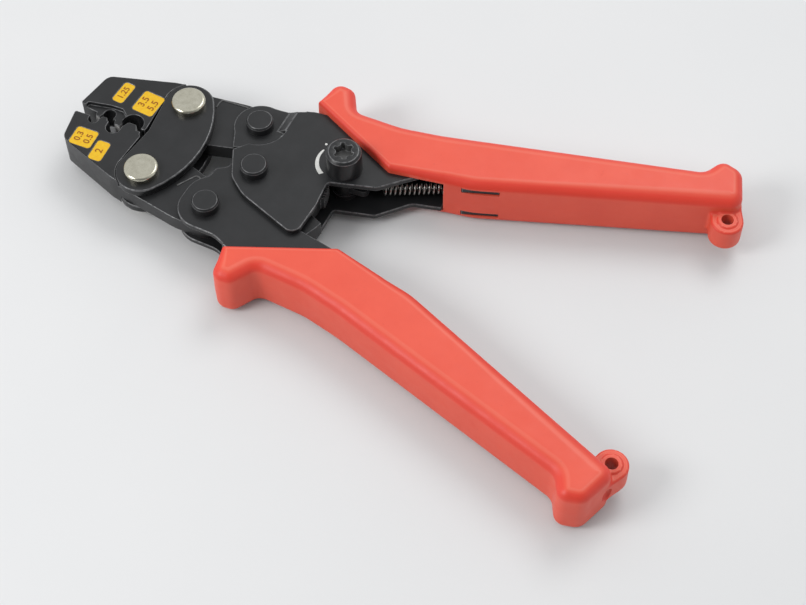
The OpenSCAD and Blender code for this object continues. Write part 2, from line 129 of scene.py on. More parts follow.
def prism(name, outline, low, high, material=None):
    """Solid between two heights with the same outline."""
    n = len(outline)
    points = [(x, y, low) for x, y in outline] + [(x, y, high) for x, y in outline]
    area = sum(a[0] * b[1] - b[0] * a[1] for a, b in zip(outline, outline[1:] + outline[:1]))
    ring = list(range(n)) if area > 0 else list(reversed(range(n)))
    faces = [tuple(reversed(ring)), tuple(i + n for i in ring)]
    for a, b in zip(ring, ring[1:] + ring[:1]):
        faces.append((a, b, b + n, a + n))
    return make_object(name, points, faces, material)


def tube(name, path, radius, sides, material):
    """Round wire along a list of places."""
    path = np.array(path)
    ahead = np.roll(path, -1, axis=0)
    behind = np.roll(path, 1, axis=0)
    ahead[-1] = path[-1]
    behind[0] = path[0]
    along = ahead - behind
    along /= np.linalg.norm(along, axis=1)[:, None]
    side = np.cross(along, [0.31, 0.22, 0.92])
    points = []
    previous = side[0]
    for place, direction in zip(path, along):
        previous = previous - direction * previous.dot(direction)
        previous = previous / np.linalg.norm(previous)
        other = np.cross(direction, previous)
        for k in range(sides):
            a = math.tau * k / sides
            points.append(place + radius * (math.cos(a) * previous + math.sin(a) * other))
    faces = [tuple(reversed(range(sides)))]
    faces.append(tuple((len(path) - 1) * sides + k for k in range(sides)))
    for i in range(len(path) - 1):
        for k in range(sides):
            a = i * sides + k
            b = i * sides + (k + 1) % sides
            faces.append((a, b, b + sides, a + sides))
    return make_object(name, points, faces, material, sharp=60)


def cut(obj, cutter):
    """Takes the cutter away from the object, then deletes the cutter."""
    modifier = obj.modifiers.new("cut", "BOOLEAN")
    modifier.operation = "DIFFERENCE"
    modifier.solver = "EXACT"
    modifier.object = cutter
    bpy.context.view_layer.update()
    graph = bpy.context.evaluated_depsgraph_get()
    result = bpy.data.meshes.new_from_object(obj.evaluated_get(graph))
    obj.modifiers.clear()
    obj.data = result
    bpy.data.objects.remove(cutter)


# Materials ----------------------------------------------------------------------------

class Graph:
    """Node tree of a new material, with short ways to add nodes that are already linked."""

    def __init__(self, name):
        self.material = bpy.data.materials.new(name)
        self.material.use_nodes = True
        self.tree = self.material.node_tree
        self.shader = self.tree.nodes["Principled BSDF"]
        self.place = self.add("ShaderNodeTexCoord").outputs["Object"]
        self.normal = self.add("ShaderNodeNewGeometry").outputs["Normal"]

    def add(self, kind, inputs=None, **settings):
        node = self.tree.nodes.new(kind)
        for key, value in settings.items():
            setattr(node, key, value)
        for key, value in (inputs or {}).items():
            self.feed(node.inputs[key], value)
        return node

    def feed(self, socket, value):
        if isinstance(value, bpy.types.NodeSocket):
            self.tree.links.new(value, socket)
        else:
            socket.default_value = value

    def noise(self, size, detail=4.0, stretch=(1, 1, 1)):
        """Soft noise whose blobs are about size millimetres across."""
        place = self.add("ShaderNodeMapping", {"Vector": self.place, "Scale": stretch}).outputs["Vector"]
        inputs = {"Vector": place, "Scale": 1 / (size * MM), "Detail": detail, "Roughness": 0.6}
        return self.add("ShaderNodeTexNoise", inputs).outputs["Fac"]

    def ramp(self, value, low, high, to_low=0.0, to_high=1.0):
        inputs = {"Value": value, "From Min": low, "From Max": high, "To Min": to_low, "To Max": to_high}
        return self.add("ShaderNodeMapRange", inputs).outputs["Result"]

    def maths(self, operation, a, b=0.0):
        return self.add("ShaderNodeMath", {0: a, 1: b}, operation=operation, use_clamp=True).outputs[0]

    def mix(self, factor, a, b):
        node = self.add("ShaderNodeMix", data_type="RGBA")
        self.feed(node.inputs[0], factor)
        self.feed(node.inputs[6], a if isinstance(a, bpy.types.NodeSocket) else (*a, 1))
        self.feed(node.inputs[7], b if isinstance(b, bpy.types.NodeSocket) else (*b, 1))
        return node.outputs[2]

    def dot(self, vector, direction):
        node = self.add("ShaderNodeVectorMath", {0: vector, 1: direction}, operation="DOT_PRODUCT")
        return node.outputs["Value"]

    def edge(self, size):
        """1 on outer edges and corners, 0 on flat faces."""
        soft = self.add("ShaderNodeBevel", {"Radius": size * MM}, samples=4).outputs["Normal"]
        closeness = self.dot(soft, self.normal)
        return self.ramp(closeness, 0.995, 0.85)

    def bump(self, *layers):
        """Adds (height, depth in millimetres) layers of relief to the surface."""
        normal = None
        for height, depth in layers:
            inputs = {"Height": height, "Distance": depth * MM, "Strength": 1.0}
            if normal:
                inputs["Normal"] = normal
            normal = self.add("ShaderNodeBump", inputs).outputs["Normal"]
        self.feed(self.shader.inputs["Normal"], normal)

    def finish(self, color, roughness, metallic=0.0, ior=1.5):
        self.feed(self.shader.inputs["Base Color"], color)
        self.feed(self.shader.inputs["Roughness"], roughness)
        self.feed(self.shader.inputs["Metallic"], metallic)
        self.feed(self.shader.inputs["IOR"], ior)
        return self.material


def black_steel(name, bright=None):
    """Satin black oxide, lighter along its edges as wear and as a painted highlight; bright(graph) can
    give a mask painted towards near white, for bare steel, painted highlights and painted reflections.
    """
    g = Graph(name)
    cloud = g.noise(9.0)
    grain = g.noise(0.35, 3.0)
    color = g.mix(g.ramp(cloud, 0.3, 0.7), (0.012, 0.0125, 0.0135), (0.019, 0.0195, 0.021))
    # Edges lighter and more metallic: partly wear, partly a painted highlight along the rims
    edge_wear_and_highlight = g.maths("MULTIPLY", g.edge(0.3), g.ramp(g.noise(1.6), 0.35, 0.65, 0.35, 1.0))
    color = g.mix(g.maths("MULTIPLY", edge_wear_and_highlight, 0.8), color, (0.27, 0.27, 0.28))
    roughness = g.ramp(g.noise(2.5), 0.3, 0.7, 0.30, 0.40)
    metallic = g.maths("MULTIPLY", edge_wear_and_highlight, 0.4)
    if bright:
        mask = bright(g)
        color = g.mix(mask, color, (0.88, 0.87, 0.85))
        metallic = g.maths("MAXIMUM", metallic, g.maths("MULTIPLY", mask, 0.25))
    g.bump((grain, 0.006), (cloud, 0.03))
    return g.finish(color, roughness, metallic, 1.46)


def rubbed_highlight_edge():
    """Black oxide rubbed towards bare steel and lightened as a painted edge highlight, for the rounded
    edges of the metal pieces.
    """
    g = Graph("rubbed_highlight_edge")
    rub = g.ramp(g.noise(2.0), 0.35, 0.65)
    color = g.mix(rub, (0.055, 0.056, 0.058), (0.20, 0.20, 0.205))
    metallic = g.maths("MULTIPLY", rub, 0.5)
    g.bump((g.noise(0.35, 3.0), 0.005))
    return g.finish(color, g.ramp(g.noise(1.0), 0.3, 0.7, 0.24, 0.36), metallic, 1.5)


def bare_and_reflecting_teeth(sign):
    """Mask of the nest teeth's end walls facing across the mouth, painted near white: partly bare steel,
    partly a painted reflection of the table; on the upper (1) or lower (-1) jaw.
    """
    lean = math.radians(JAW_SWING)
    pin = Vector((JAW_PIN[0], JAW_PIN[1] * sign, 0))
    across = Vector((-math.sin(-lean * sign), math.cos(-lean * sign), 0)) * sign
    line = -1.2 * sign
    offset = (line - JAW_PIN[1]) * MM

    def mask(g):
        inputs = {0: g.place, 1: tuple(-pin * MM)}
        from_pin = g.add("ShaderNodeVectorMath", inputs, operation="ADD").outputs[0]
        height = g.dot(from_pin, tuple(across))
        beyond = g.ramp(height, offset - 0.0002, offset - 0.0005)
        upright = g.ramp(g.dot(g.normal, tuple(across)), -0.25, -0.7)
        ends = g.maths("MULTIPLY", beyond, upright)
        uneven = g.ramp(g.noise(0.8), 0.3, 0.5, 0.5, 1)
        return g.maths("MULTIPLY", ends, uneven)
    return mask


def bright_steel(name, color, roughness=0.3):
    """Bare machined steel with fine scratches."""
    g = Graph(name)
    scratch = g.noise(0.25, 3.0, (1, 6, 1))
    tint = g.mix(g.ramp(g.noise(3.0), 0.3, 0.7), color, tuple(c * 0.82 for c in color))
    tint = g.mix(g.maths("MULTIPLY", g.edge(0.2), 0.6), tint, (0.9, 0.9, 0.9))
    g.bump((scratch, 0.004))
    return g.finish(tint, g.ramp(scratch, 0.3, 0.7, roughness - 0.06, roughness + 0.1), 1.0)


def nickel_plate():
    """Warm bright plate with a slightly cloudy, faintly scratched surface."""
    g = Graph("nickel_plate")
    cloud = g.noise(2.2)
    scratch = g.noise(0.3, 4.0, (5, 1, 1))
    color = g.mix(g.ramp(cloud, 0.3, 0.7), (0.50, 0.48, 0.39), (0.62, 0.60, 0.50))
    # Edges lighter: partly wear, partly a painted highlight on the rims
    edge_wear_and_highlight = g.edge(0.25)
    color = g.mix(g.maths("MULTIPLY", edge_wear_and_highlight, 0.6), color, (0.86, 0.85, 0.80))
    g.bump((scratch, 0.0025), (cloud, 0.02))
    return g.finish(color, g.ramp(scratch, 0.3, 0.7, 0.17, 0.28), 1.0)


def coral_plastic():
    """Moulded grip plastic with painted light: a painted highlight along its creases and rounded edges,
    and painted shade, darker and more saturated, on its sloping faces.
    """
    g = Graph("coral_plastic")
    cloud = g.noise(14.0)
    grain = g.noise(0.3, 3.0)
    color = g.mix(g.ramp(cloud, 0.3, 0.7), (0.84, 0.090, 0.048), (0.88, 0.105, 0.057))
    spots = g.ramp(g.noise(1.1, 2.0), 0.68, 0.76)
    color = g.mix(g.maths("MULTIPLY", spots, 0.25), color, (0.66, 0.06, 0.04))
    tilt = g.maths("ABSOLUTE", g.dot(g.normal, (0, 0, 1)))
    # Painted shade: sloping faces and rounded edges darker and more saturated
    band = g.maths("MULTIPLY", g.ramp(tilt, 0.97, 0.86), g.ramp(tilt, 0.10, 0.35))
    color = g.mix(g.maths("MULTIPLY", band, 0.85), color, (0.82, 0.050, 0.028))
    # Painted highlight: a thin pale line where the top face starts to round over
    crease = g.maths("MULTIPLY", g.ramp(tilt, 0.9995, 0.993), g.ramp(tilt, 0.95, 0.98))
    color = g.mix(g.maths("MULTIPLY", crease, 0.25), color, (0.93, 0.27, 0.19))
    # Painted highlight along the rounded edges
    color = g.mix(g.maths("MULTIPLY", g.edge(0.5), 0.4), color, (0.95, 0.27, 0.19))
    # Bounced light takes a greyer color, so that the table isn't tinted pink
    bounced = g.add("ShaderNodeLightPath").outputs["Is Diffuse Ray"]
    color = g.mix(g.maths("MULTIPLY", bounced, 0.7), color, (0.42, 0.34, 0.32))
    g.bump((grain, 0.012), (g.noise(5.0), 0.05))
    g.feed(g.shader.inputs["Subsurface Weight"], 0.05)
    g.feed(g.shader.inputs["Subsurface Radius"], (0.004, 0.001, 0.0006))
    return g.finish(color, g.ramp(g.noise(4.0), 0.3, 0.7, 0.40, 0.50), 0.0, 1.5)


def paint(name, color, dark, roughness=0.45):
    """Thin paint with small gaps and a slightly uneven edge."""
    g = Graph(name)
    tint = g.mix(g.ramp(g.noise(1.0), 0.35, 0.7), color, dark)
    g.bump((g.noise(0.4), 0.01))
    return g.finish(tint, roughness, 0.0, 1.35)


def knob_steel():
    """Black knob whose driver socket walls carry a painted highlight, a little brighter inside."""
    def socket(g):
        inputs = {0: g.place, 1: (-KNOB[0] * MM, -KNOB[1] * MM, 0)}
        from_axis = g.add("ShaderNodeVectorMath", inputs, operation="ADD").outputs[0]
        flat = g.add("ShaderNodeVectorMath", {0: from_axis, 1: (1, 1, 0)}, operation="MULTIPLY").outputs[0]
        distance = g.add("ShaderNodeVectorMath", {0: flat}, operation="LENGTH").outputs["Value"]
        height = g.dot(g.place, (0, 0, 1))
        below = g.ramp(height, (KNOB_FACE - 0.1) * MM, (KNOB_FACE - 0.4) * MM)
        inside = g.ramp(distance, (SOCKET_RADIUS + 0.2) * MM, SOCKET_RADIUS * MM)
        return g.maths("MULTIPLY", g.maths("MULTIPLY", inside, below), SOCKET_SHINE)
    return black_steel("black_knob", socket)


BLACK = black_steel("black_oxide")
RUBBED_HIGHLIGHT = rubbed_highlight_edge()
# Panel borders painted a little lighter in patches: a painted highlight along the ridges
PANEL = black_steel("black_panel", lambda g: g.ramp(g.noise(1.2), 0.3, 0.7, 0.04, 0.14))
COAT = {
    "upper_jaw": black_steel("black_upper_jaw", bare_and_reflecting_teeth(1)),
    "lower_jaw": black_steel("black_lower_jaw", bare_and_reflecting_teeth(-1)),
    "release_knob": knob_steel(),
    "upper_jaw_pin": nickel_plate(),
    "centre_bush": bright_steel("turned_steel", (0.50, 0.50, 0.51)),
    "ratchet_sector": black_steel("black_sector"),
}
COAT["lower_jaw_pin"] = COAT["upper_jaw_pin"]
for piece in ("shaft_clip", "spring_anchor_pin"):
    COAT[piece] = COAT["centre_bush"]
CORAL = coral_plastic()
SPRING = bright_steel("spring_wire", (0.36, 0.35, 0.33), 0.26)
YELLOW = paint("label_yellow", (0.86, 0.55, 0.022), (0.82, 0.44, 0.016))
DIGIT = paint("label_digit", (0.40, 0.15, 0.012), (0.27, 0.085, 0.01))
WHITE = paint("mark_white", (0.80, 0.80, 0.77), (0.62, 0.62, 0.60))


# Metal pieces -------------------------------------------------------------------------

# Widest edge rounding of each piece, in millimetres
EDGE_ROUND = {"side_plate_front": 0.5, "side_plate_rear": 0.5, "upper_jaw": 0.22, "lower_jaw": 0.22,
              "upper_frame": 0.35, "lower_frame": 0.35, "ratchet_sector": 0.2, "release_knob": 0.2,
              "upper_tail_pin": 0.12, "lower_tail_pin": 0.12, "centre_pin": 0.12}
SHARP_COSINE = math.cos(math.radians(30))


def plate_share(x, y, z):
    """Share of the full rounding on a side plate: little where it meets the jaws' faces."""
    return min(max((x - JAW_PIN[0] + 8) / 9, 0.25), 1.0)


def edge_shares(mesh, share):
    """Writes a bevel weight on each sharp edge of a mesh whose faces don't share vertices."""
    corner = [tuple(round(c / MM, 3) for c in v.co) for v in mesh.vertices]
    keys = [frozenset((corner[a], corner[b])) for a, b in mesh.edge_keys]
    sides = {}
    for polygon in mesh.polygons:
        for a, b in polygon.edge_keys:
            sides.setdefault(frozenset((corner[a], corner[b])), []).append(polygon.normal)
    weights = []
    for key in keys:
        normals = sides.get(key, [])
        sharp = any(n.dot(normals[0]) < SHARP_COSINE for n in normals)
        middle = [sum(c) / len(key) for c in zip(*key)]
        weights.append(share(*middle) if sharp else 0.0)
    layer = mesh.attributes.new("bevel_weight_edge", "FLOAT", "EDGE")
    layer.data.foreach_set("value", weights)


SHARES = {"side_plate_front": plate_share, "side_plate_rear": plate_share}


def soften(obj, width, share):
    """Rounds a CAD node's edges and keeps its flat faces flat."""
    obj.modifiers.new("weld", "WELD").merge_threshold = 0.001 * MM
    bevel = obj.modifiers.new("round", "BEVEL")
    bevel.width = width * MM
    bevel.segments = 3
    bevel.limit_method = "ANGLE"
    bevel.angle_limit = math.acos(SHARP_COSINE)
    bevel.use_clamp_overlap = False
    bevel.loop_slide = False
    # Bevel faces take the lighter edge material: rubbed steel with a painted edge highlight
    obj.data.materials.append(RUBBED_HIGHLIGHT)
    bevel.material = 1
    if share:
        edge_shares(obj.data, share)
        bevel.limit_method = "WEIGHT"
    normals = obj.modifiers.new("normals", "WEIGHTED_NORMAL")
    normals.keep_sharp = False


def dress_metal():
    for name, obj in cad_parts.items():
        obj.data.materials.clear()
        obj.data.materials.append(COAT.get(name, BLACK))
        if name in EDGE_ROUND:
            soften(obj, EDGE_ROUND[name], SHARES.get(name))


# Grips ----------------------------------------------------------------------------------

# Side view of the upper grip: x, y, corner radius, and the width of the rounded long
# edge before and after the corner
GRIP_CORNERS = [
    (6.6, 33.7, 0.8, 1.7, 2.2), (8.2, 45.8, 4.2, 4.6, 4.8), (15.6, 45.0, 4.0, 4.8, 4.8),
    (20.6, 36.6, 4.0, 4.8, 4.8), (37.5, 37.2, 30.0, 4.8, 4.8), (51.0, 40.0, 60.0, 4.8, 5.0),
    (137.0, 63.9, 5.0, 5.0, 4.8), (141.0, 71.2, 4.0, 4.4, 4.0), (149.0, 69.0, 5.0, 3.8, 3.6),
    (154.1, 55.2, 4.6, 3.8, 5.8), (108.0, 37.8, 0.0, 4.8, 4.8), (95.0, 32.9, 0.0, 4.2, 4.2),
    (70.0, 23.4, 30.0, 4.0, 4.0), (59.5, 21.6, 10.0, 3.4, 3.2), (41.4, 18.1, 2.0, 2.0, 1.7)]
FRAME_BACK = [(4, 30.4), (8, 31.5), (22, 33.4), (37, 34.2), (51, 36.9), (129, 59)]
WALL_START = 60.2
WALL_END = 131.8
SLOT_PLACE = (69.5, 14)
SLOT_ANGLE = 20.4
SLOT_LENGTH = 13
SLOT_REACH = 16
SLOT_HALF = 1.1
UPPER_SHEET_HALF = 7.05
LOWER_SHEET_HALF = 5.0
# Ring at the grip's end, and the web that joins it to the grip
RING_RADIUS = 5.45
RING_HOLE = 2.1
WEB = [(145.8, 48.6, 0), (144.2, 52.0, 0), (150.5, 58.5, 0), (152.6, 58.8, 0), (155.5, 53.4, 0)]
# Side of the cubes that the grip's surface is found on
CELL = 0.5


def grip_edges():
    """Outline of the grip as points (x, y, width of the rounded edge)."""
    points = []
    for i, (x, y, radius, before, after) in enumerate(GRIP_CORNERS):
        if radius == 0:
            points.append((x, y, before))
            continue
        following = GRIP_CORNERS[(i + 1) % len(GRIP_CORNERS)]
        arc = rounded_corner(GRIP_CORNERS[i - 1][:2], (x, y), following[:2], radius)
        for k, (px, py) in enumerate(arc):
            points.append((px, py, before + (after - before) * k / (len(arc) - 1)))
    return points


def outline_distance(x, y, edges):
    """Signed distance to a closed outline, negative inside, and the edge width there."""
    x, y = np.broadcast_arrays(x, y)
    nearest = np.full(np.shape(x), 1e9)
    width = np.zeros(np.shape(x))
    inside = np.zeros(np.shape(x), dtype=bool)
    for (ax, ay, aw), (bx, by, bw) in zip(edges, edges[1:] + edges[:1]):
        dx, dy = bx - ax, by - ay
        share = np.clip(((x - ax) * dx + (y - ay) * dy) / (dx * dx + dy * dy + 1e-12), 0, 1)
        gap = (x - ax - share * dx) ** 2 + (y - ay - share * dy) ** 2
        closer = gap < nearest
        nearest = np.where(closer, gap, nearest)
        width = np.where(closer, aw + share * (bw - aw), width)
        if ay != by:
            crosses = ((ay > y) != (by > y)) & (x < dx * (y - ay) / dy + ax)
            inside ^= crosses
    return np.where(inside, -1, 1) * np.sqrt(nearest), width


def smooth_union(a, b, k):
    """Smaller of two distances, with a fillet of about k where they meet."""
    h = np.clip(0.5 + 0.5 * (b - a) / k, 0, 1)
    return b + (a - b) * h - k * h * (1 - h)


def rounded_slab(distance, z, half, radius):
    """Distance to a plate with a given outline distance, half thickness and edge radius."""
    across = distance + radius
    up = np.abs(z) - half + radius
    outside = np.hypot(np.maximum(across, 0), np.maximum(up, 0))
    return outside + np.minimum(np.maximum(across, up), 0) - radius


def grip_field(x, y, z):
    """Distance-like field of the upper grip before its cavity is cut; negative inside."""
    distance, width = outline_distance(x, y, grip_edges())
    depth = np.minimum(width, 3.2 + 0.1 * width)
    power = 2.1
    lean = distance + 0.02 * np.abs(z)
    u = np.maximum((lean + width) / width, 0)
    v = np.maximum((np.abs(z) - GRIP_HALF + depth) / depth, 0)
    body = ((u ** power + v ** power + 1e-9) ** (1 / power) - 1) * np.minimum(width, depth)
    ring = np.hypot(x - LOOP[0], y - LOOP[1])
    web_distance, _ = outline_distance(x, y, WEB)
    loop = rounded_slab(np.minimum(ring - RING_RADIUS, web_distance), z, 4.4, 0.7)
    boss = rounded_slab(ring - 3.5, z, 4.9, 0.35)
    shape = smooth_union(body, smooth_union(loop, boss, 0.3), 0.9)
    dish = np.sqrt(((x - DISH[0]) / 1.5) ** 2 + ((y - DISH[1]) / 2.3) ** 2 + (z / 3.1) ** 2) - 1
    return np.maximum(shape, -dish * 1.5)


def surface_net(field, low, high, cell):
    """Vertices and quads of a field's zero surface on a grid of cubes."""
    axes = [np.arange(a, b + cell, cell) for a, b in zip(low, high)]
    x, y, z = axes[0][:, None, None], axes[1][None, :, None], axes[2][None, None, :]
    values = field(x, y, z)
    inside = values < 0
    shape = tuple(n - 1 for n in values.shape)
    total = np.zeros(shape + (3,))
    count = np.zeros(shape)
    offsets = [(0, 0), (0, 1), (1, 0), (1, 1)]
    crossings = []
    for axis in range(3):
        others = [a for a in range(3) if a != axis]
        start = [slice(None)] * 3
        stop = [slice(None)] * 3
        start[axis] = slice(0, -1)
        stop[axis] = slice(1, None)
        a, b = values[tuple(start)], values[tuple(stop)]
        change = inside[tuple(start)] != inside[tuple(stop)]
        share = np.where(change, a / np.where(change, a - b, 1), 0)
        crossings.append((axis, others, change, inside[tuple(start)]))
        for i, j in offsets:
            window = [slice(None)] * 3
            window[others[0]] = slice(i, i + shape[others[0]])
            window[others[1]] = slice(j, j + shape[others[1]])
            hit = change[tuple(window)]
            count += hit
            total[..., axis] += np.where(hit, share[tuple(window)], 0)
            total[..., others[0]] += hit * i
            total[..., others[1]] += hit * j
    used = count > 0
    number = np.full(shape, -1)
    number[used] = np.arange(used.sum())
    corner = np.argwhere(used)
    points = corner + total[used] / count[used][:, None]
    points = np.array(low) + points * cell
    quads = []
    for axis, others, change, first_inside in crossings:
        places = np.argwhere(change)
        keep = (places[:, others[0]] > 0) & (places[:, others[1]] > 0)
        keep &= (places[:, others[0]] < shape[others[0]]) & (places[:, others[1]] < shape[others[1]])
        places = places[keep]
        ring = []
        for i, j in ((1, 1), (0, 1), (0, 0), (1, 0)):
            cellplace = places.copy()
            cellplace[:, others[0]] -= i
            cellplace[:, others[1]] -= j
            ring.append(number[tuple(cellplace.T)])
        quad = np.stack(ring, axis=1)
        outward = first_inside[tuple(places.T)] ^ (axis == 1)
        quads.append(np.where(outward[:, None], quad, quad[:, ::-1]))
    return points, np.concatenate(quads)


def settle(points, field, steps=2):
    """Moves points onto the field's zero surface."""
    step = 0.02
    for _ in range(steps):
        x, y, z = points.T
        here = field(x, y, z)
        slope = np.stack([field(x + step, y, z) - here, field(x, y + step, z) - here,
                          field(x, y, z + step) - here], axis=1) / step
        size = np.maximum((slope ** 2).sum(axis=1), 0.05)
        move = -here[:, None] * slope / size[:, None]
        points = points + np.clip(move, -0.3, 0.3)
    return points


def cavity_outline():
    """Room for the handle sheet, open towards the front and the inner side."""
    back = [(x - 0.03, y + 0.1) for x, y in FRAME_BACK]
    end = [(WALL_END, 58.7), (WALL_END, 49.55)]
    inner = [(WALL_START, 25.3), (WALL_START, 5), (-5, 5), (-5, 30)]
    return back + end + inner


def slot_box(height):
    """Cutter for one slot in the grip's inner wall, which a tab of the sheet fills."""
    turn = math.radians(SLOT_ANGLE)
    corners = []
    for along, across in ((0, 0), (SLOT_LENGTH, 0), (SLOT_LENGTH, SLOT_REACH), (0, SLOT_REACH)):
        x = SLOT_PLACE[0] + along * math.cos(turn) - across * math.sin(turn)
        y = SLOT_PLACE[1] + along * math.sin(turn) + across * math.cos(turn)
        corners.append((x, y))
    return prism("slot", corners, height - SLOT_HALF, height + SLOT_HALF)


def rod(name, start, stop, radius, sides=48):
    """Plain round cutter between two places."""
    return tube(name, [start, stop], radius, sides, None)


def make_grip(name, node, half, sign, with_spring):
    """Grip with its cavity, slots and holes; sign is 1 for the upper and -1 for the lower grip."""
    points, quads = GRIP_SHELL
    grip = make_object(name, points, quads, CORAL, sharp=40)
    cut(grip, prism("cavity", cavity_outline(), -half - 0.1, half + 0.1))
    for side in (-1, 1):
        cut(grip, slot_box(side * (half - 1)))
    cut(grip, prism("hole", circle_outline(LOOP, RING_HOLE), -12, 12))
    outer_end = (DISH[0] + 2.5, DISH[1] + 1.3, 0)
    inner_end = (DISH[0] - 4.5, DISH[1] - 2.4, 0)
    cut(grip, rod("end_hole", outer_end, inner_end, 0.65, 24))
    if with_spring:
        cut(grip, rod("spring_room", (*EYE, 0), (*ANCHOR, 0), 3.1))
    if sign < 0:
        grip.data.transform(Matrix.Scale(-1, 4, (0, 1, 0)))
        grip.data.flip_normals()
    grip.data.polygons.foreach_set("use_smooth", [True] * len(grip.data.polygons))
    grip.data.set_sharp_from_angle(angle=math.radians(40))
    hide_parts(node)
    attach(grip, "upper_handle" if sign > 0 else "lower_handle")
    return grip


# Spring and painted marks ---------------------------------------------------------------

def make_spring():
    """Extension spring whose hook passes through the pawl's eye."""
    span = math.hypot(ANCHOR[0] - EYE[0], ANCHOR[1] - EYE[1])
    turn = math.atan2(ANCHOR[1] - EYE[1], ANCHOR[0] - EYE[0])
    lead, tail, turns, steps, radius = 6.2, 2.6, 22, 28, 2.1
    path = [(0, 0, -2.0), (0, 0, 0), (0, 0, 1.3), (0.12, 0, 1.7), (0.45, 0, 2.0)]
    path += [(1.0, 0, 2.1), (2.2, 0, 2.1)]
    for i in range(turns * steps + 1):
        a = math.tau * i / steps
        x = lead + (span - lead - tail) * i / (turns * steps)
        path.append((x, radius * math.sin(a), radius * math.cos(a)))
    path.append((span - 2.3, 0.2, 2.05))
    path.append((span - 2.0, 0.1, 1.9))
    placed = [(EYE[0] + x * math.cos(turn) - y * math.sin(turn),
               EYE[1] + x * math.sin(turn) + y * math.cos(turn), z) for x, y, z in path]
    spring = tube("spring_wire_coil", placed, 0.36, 12, SPRING)
    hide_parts("pawl_spring")
    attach(spring, "upper_handle")


def jaw_matrix(sign):
    """From a closed jaw's frame to the rest pose, in metres."""
    pin = Vector((JAW_PIN[0] * MM, JAW_PIN[1] * sign * MM, 0))
    turn = Matrix.Rotation(math.radians(-JAW_SWING * sign), 4, "Z")
    return Matrix.Translation(pin) @ turn @ Matrix.Translation(-pin)


def digits(name, text, x, y, size, height):
    """Raised number whose baseline runs along +Y."""
    curve = bpy.data.curves.new(name, "FONT")
    curve.body = text
    curve.size = size * MM
    curve.align_x = "CENTER"
    curve.align_y = "CENTER"
    curve.extrude = 0.03 * MM
    curve.offset = 0.05 * MM
    curve.space_character = 1.05
    holder = bpy.data.objects.new(name + "_curve", curve)
    bpy.context.scene.collection.objects.link(holder)
    bpy.context.view_layer.update()
    graph = bpy.context.evaluated_depsgraph_get()
    mesh = bpy.data.meshes.new_from_object(holder.evaluated_get(graph))
    bpy.data.objects.remove(holder)
    place = Matrix.Translation((x * MM, y * MM, height * MM))
    mesh.transform(place @ Matrix.Rotation(math.pi / 2, 4, "Z"))
    mesh.materials.clear()
    mesh.materials.append(DIGIT)
    obj = bpy.data.objects.new(name, mesh)
    bpy.context.scene.collection.objects.link(obj)
    return obj


# Size labels: name, jaw sign, x, y, width, height, then lines (text, x offset, size)
LABELS = [
    ("label_small_upper", 1, -57.4, 9.6, 4.3, 9.0, [("1.25", 0, 3.1)]),
    ("label_large_upper", 1, -47.1, 9.6, 8.2, 9.3, [("3.5", -1.9, 3.5), ("5.5", 1.9, 3.5)]),
    ("label_large_lower", -1, -59.6, 10.8, 8.2, 7.6, [("0.3", -1.8, 3.2), ("0.5", 1.8, 3.2)]),
    ("label_small_lower", -1, -51.9, 14.0, 4.9, 8.4, [("2", 0, 3.6)])]


def make_labels():
    floor = JAW_FACE - 0.35
    for name, sign, x, y, width, height, lines in LABELS:
        body = "upper_jaw" if sign > 0 else "lower_jaw"
        outline = rounded_box(x, y * sign, width - 0.1, height - 0.1, 1.05)
        plate = prism(name, outline, floor + 0.005, floor + 0.22, YELLOW)
        pieces = [plate]
        for i, (text, shift, size) in enumerate(lines):
            pieces.append(digits(f"{name}_digits_{i}", text, x + shift, y * sign, size, floor + 0.25))
        for piece in pieces:
            piece.data.transform(jaw_matrix(sign))
            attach(piece, body)


def ribbon_outline(path, width):
    """Outline of a band of constant width along an open path."""
    left, right = [], []
    for i, (x, y) in enumerate(path):
        before = Vector(path[max(i - 1, 0)])
        after = Vector(path[min(i + 1, len(path) - 1)])
        side = (after - before).normalized().orthogonal() * width / 2
        left.append((x + side.x, y + side.y))
        right.append((x - side.x, y - side.y))
    return left + right[::-1]


# Corners of each panel's border: x, y and, between the ends, a radius
PANEL_PATHS = {
    "upper_jaw": [(-26.8, 21.0), (-26.9, 23.1, 0.9), (-26.5, 24.9, 1.2), (-16.7, 25.8)],
    "lower_jaw": [(-22.0, -14.6), (-21.2, -13.2, 0.9), (-18.2, -8.3, 0.8), (-17.0, -8.3, 0.5),
                  (-15.0, -9.9)]}
ARM_FACE = 2.95


def make_arm_panels():
    """Raised border of the pressed panel on each jaw's arm, on both faces."""
    for body, corners in PANEL_PATHS.items():
        path = [corners[0]]
        for before, corner, after in zip(corners, corners[1:], corners[2:]):
            path.extend(rounded_corner(before[:2], corner[:2], after[:2], corner[2]))
        path.append(corners[-1])
        for side in (-1, 1):
            low, high = sorted((side * (ARM_FACE - 0.05), side * (ARM_FACE + 0.25)))
            name = f"{body}_panel_{'front' if side > 0 else 'rear'}"
            panel = prism(name, ribbon_outline(path, 0.5), low, high, PANEL)
            bevel = panel.modifiers.new("round", "BEVEL")
            bevel.width = 0.1 * MM
            bevel.segments = 2
            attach(panel, body)


